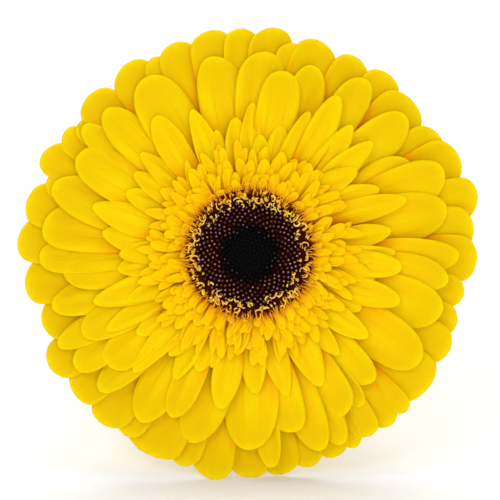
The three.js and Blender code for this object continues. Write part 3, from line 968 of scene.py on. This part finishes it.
def bracts(draw):
    """Narrow pointed bracts of the cup in three overlapping rows."""
    pieces = []
    for rank, (count, root_radius, reach, root_height, tip_height, width) in enumerate(BRACT_ROWS):
        vary = chances(draw, count)
        shape = dict(
            angle=(np.arange(count) + rank / 3 + vary(0.12)) * 360 / count,
            reach=reach + vary(0.25),
            width=width,
            root_radius=root_radius,
            root_height=root_height,
            tip_height=tip_height - 0.1,
            arch=-0.6,
            channel=0.35,
            tilt=0.06,
            root=0.8,
            widest=0.3,
            roundness=1.25,
            fold_depth=0.08,
            folds=1.0,
            thickness=0.9,
            phase=draw.random(count),
        )
        pieces.append(blades(f"bract_row_{rank}", shape, rows=12, columns=7, draw=draw))
    return pieces


def cup():
    """The green cup behind the head, turned, narrow at the neck and widening to its top."""
    outline = [(1, NECK_HEIGHT), (NECK_RADIUS, NECK_HEIGHT), (4.3, -15.6), (6.9, -11), (9.6, -6),
               (11.2, CUP_TOP - 0.2), (10.8, CUP_TOP), (1, CUP_TOP)]
    return turned("cup", outline)


def stem_path(steps):
    """A square curve through the neck, a point on the bloom's axis behind it, and the foot."""
    out = axes()[2]
    origin = np.array(BLOOM_ORIGIN)
    neck = origin + out * (NECK_HEIGHT - JOINT)
    onward = origin + out * (NECK_HEIGHT - SAG_REACH)
    onward[2] -= STEM_SAG
    foot = np.array([STEM_FOOT[0] + BLOOM_ORIGIN[0], STEM_FOOT[1] + BLOOM_ORIGIN[1],
                     STEM_FOOT_RADIUS - REST_FLAT])
    share = np.linspace(0, 1, steps)[:, None]
    return (1 - share) ** 2 * neck + 2 * share * (1 - share) * onward + share ** 2 * foot


def stem_frame(steps):
    """The stem's path and, at each step, its direction, a level one square to it and one over it."""
    path = stem_path(steps)
    tangent = np.gradient(path, axis=0)
    tangent /= np.linalg.norm(tangent, axis=1, keepdims=True)
    side = np.cross([0.0, 0.0, 1.0], tangent)
    side /= np.linalg.norm(side, axis=1, keepdims=True)
    over = np.cross(tangent, side)
    return path, tangent, side, over


def stem_width(share):
    """The stem's radius: it flares to the neck over a short way and swells evenly to the foot."""
    flare = (NECK_RADIUS - STEM_RADIUS) * np.maximum(0, 1 - share / NECK_FLARE)
    return STEM_RADIUS + flare + (STEM_FOOT_RADIUS - STEM_RADIUS) * share


def stem_skin():
    """A tube along the stem's path with shallow ribs: radius less a small cosine of the turn.

    Its cut end is nearly flat with a shallow pit at the pith, given as shares of the last
    ring and depths into the stem.
    """
    steps, sides, ribs = 120, 60, 10
    cut_end = ((0.97, -0.05), (0.9, -0.02), (0.45, 0.12), (0.3, 1.2))
    pit_depth, along_foot = 1.4, 0.6
    path, tangent, side, over = stem_frame(steps)
    share = np.linspace(0, 1, steps)[:, None]
    turn = np.linspace(0, 2 * np.pi, sides, endpoint=False)[None, :]
    radius = stem_width(share) * (0.975 + 0.022 * np.cos(turn * ribs + share * 2))
    ring = side[:, None, :] * np.cos(turn)[..., None] + over[:, None, :] * np.sin(turn)[..., None]
    rings = path[:, None, :] + ring * radius[..., None]
    end = [path[-1] + (rings[-1:] - path[-1]) * scale - tangent[-1] * depth for scale, depth in cut_end]
    rings = np.concatenate([rings, *end])
    rings[..., 2] = np.maximum(rings[..., 2], PRESSED_FLAT)
    count = len(rings)
    points = np.concatenate([rings.reshape(-1, 3), path[:1], path[-1:] - tangent[-1:] * pit_depth])
    along = np.concatenate([np.linspace(0, along_foot, steps), np.full(len(end), along_foot)])
    cut = np.concatenate([np.zeros(steps), np.ones(len(end))])
    rows = {"along": along, "across": np.zeros(count), "tone": np.full(count, 0.5), "cut": cut}
    attributes = {label: with_poles(row[None, :], sides) for label, row in rows.items()}
    return mesh_object("stem_skin", points, spindle_faces(count, sides), attributes)


def stem_down(draw):
    """Short soft hairs standing off the stem: from a point on it outwards, with a drawn slant."""
    count, steps, stations = 2600, 3, 400
    hair_radius, lowest = 0.035, 0.05
    path, tangent, side, over = stem_frame(stations)
    station = draw.integers(4, stations - 4, count)
    turn = draw.uniform(0, 2 * np.pi, count)
    outward = side[station] * np.cos(turn)[:, None] + over[station] * np.sin(turn)[:, None]
    foot = path[station] + outward * (stem_width(station[:, None] / stations) * 0.95)
    slant = draw.normal(0, 0.5, (count, 1)) * tangent[station] + draw.normal(0, 0.3, (count, 3))
    length = draw.uniform(0.35, 0.8, (count, 1))
    tipward = outward + slant
    along = np.linspace(0, 1, steps)[None, :, None]
    paths = foot[:, None, :] + (tipward * length)[:, None, :] * along
    paths[..., 2] = np.maximum(paths[..., 2], lowest)
    radii = np.broadcast_to(hair_radius * (1 - 0.8 * along[..., 0]), (count, steps))
    return tubes("stem_down", paths, radii, 4, {"along": 0.3, "across": 0.0, "tone": 0.9})


# The scene.

def make_camera():
    """Looks along the bloom's axis from far off, with the axis at its pixel of the photograph."""
    right, up, out = axes()
    half = FRAME_PIXELS / 2
    aim = np.array(BLOOM_ORIGIN) + right * (half - AXIS_PIXEL[0]) * MM_PER_PIXEL
    aim = aim + up * (AXIS_PIXEL[1] - half) * MM_PER_PIXEL
    place = aim + out * CAMERA_DISTANCE
    data = bpy.data.cameras.new("camera")
    data.sensor_width = SENSOR_WIDTH
    data.lens = SENSOR_WIDTH * CAMERA_DISTANCE / (FRAME_PIXELS * MM_PER_PIXEL)
    data.clip_end = 50.0
    camera = bpy.data.objects.new("camera", data)
    turn = Matrix((right, up, out)).transposed().to_4x4()
    camera.matrix_world = Matrix.Translation(Vector(place / MM_PER_METRE)) @ turn
    bpy.context.scene.collection.objects.link(camera)
    bpy.context.scene.camera = camera


def make_floor():
    """A wide pale surface."""
    half = 6000.0
    corners = np.array([[-half, -half, 0], [half, -half, 0], [half, half, 0], [-half, half, 0]])
    floor = mesh_object("floor", corners, [np.array([[0, 1, 2, 3]])])
    made = Finish("pale_floor", Roughness=0.9, Specular_IOR_Level=0.1, Base_Color=(0.97, 0.97, 0.97, 1.0))
    floor.data.materials.append(made.material)


def add_light(name, place, aim, size, watts):
    """A round soft lamp at a place in metres, turned to its aim."""
    data = bpy.data.lights.new(name, "AREA")
    data.shape = "DISK"
    data.size = size
    data.energy = watts
    lamp = bpy.data.objects.new(name, data)
    lamp.location = place
    lamp.rotation_euler = (Vector(aim) - Vector(place)).to_track_quat("-Z", "Y").to_euler()
    bpy.context.scene.collection.objects.link(lamp)


def make_light():
    """Plain soft studio light: an even surround and three soft lamps.

    One hangs above left, one in front, and one over the surface behind.
    """
    scene = bpy.context.scene
    world = bpy.data.worlds.new("surround")
    world.use_nodes = True
    background = world.node_tree.nodes["Background"]
    background.inputs["Color"].default_value = (1.0, 1.0, 1.0, 1.0)
    background.inputs["Strength"].default_value = 0.51
    scene.world = world
    scene.view_settings.view_transform = "Standard"
    bloom = (0, -0.06, 0.05)
    add_light("key", place=(-0.35, -0.8, 0.7), aim=bloom, size=0.4, watts=1.5)
    add_light("front", place=(0.1, -0.97, 0.30), aim=bloom, size=0.5, watts=2.8)
    add_light("surface", place=(0, 0.8, 1.4), aim=(0, 0.8, 0), size=2.0, watts=19.5)


def build():
    """The seven pieces, one for each solid. All draw their chance numbers from one source, in turn."""
    draw = np.random.default_rng(20)
    yellow = petal_finish("ray_petal", **RAY_TINTS)
    orange = petal_finish("short_petal", **SHORT_TINTS)
    rays = joined("ray_petals", [rear_rays(draw), front_rays(draw), middle_rays(draw), head_drum()])
    wear(rays, yellow, "ray_florets")
    short = joined("short_petals", [*short_rings(draw), head_tier()])
    wear(short, orange, "short_florets")
    curls = joined("styles", [curled_styles(draw), flat_ring("style_bed", **STYLE_BED)])
    wear(curls, curl_finish(), "curled_styles")
    hairs = joined("hairs", [bristle_ring(draw), flat_ring("hair_bed", **HAIR_BED)])
    wear(hairs, bristle_finish(), "bristles")
    disc = joined("disc", [disc_buds(draw), disc_dish()])
    wear(disc, disc_finish(), "disc_florets")
    green = green_finish("bract_skin", dark=(0.05, 0.095, 0.010), light=(0.19, 0.29, 0.035),
                         streak_turns=14.0)
    leaves = joined("bracts", [*bracts(draw), cup()])
    wear(leaves, green, "involucre")
    stalk_green = green_finish("stem_skin", dark=(0.11, 0.18, 0.022), light=(0.29, 0.40, 0.07),
                               streak_turns=30.0)
    stalk = joined("stalk", [stem_skin(), stem_down(draw)])
    wear(stalk, stalk_green, "stem")


make_camera()
make_floor()
make_light()
build()
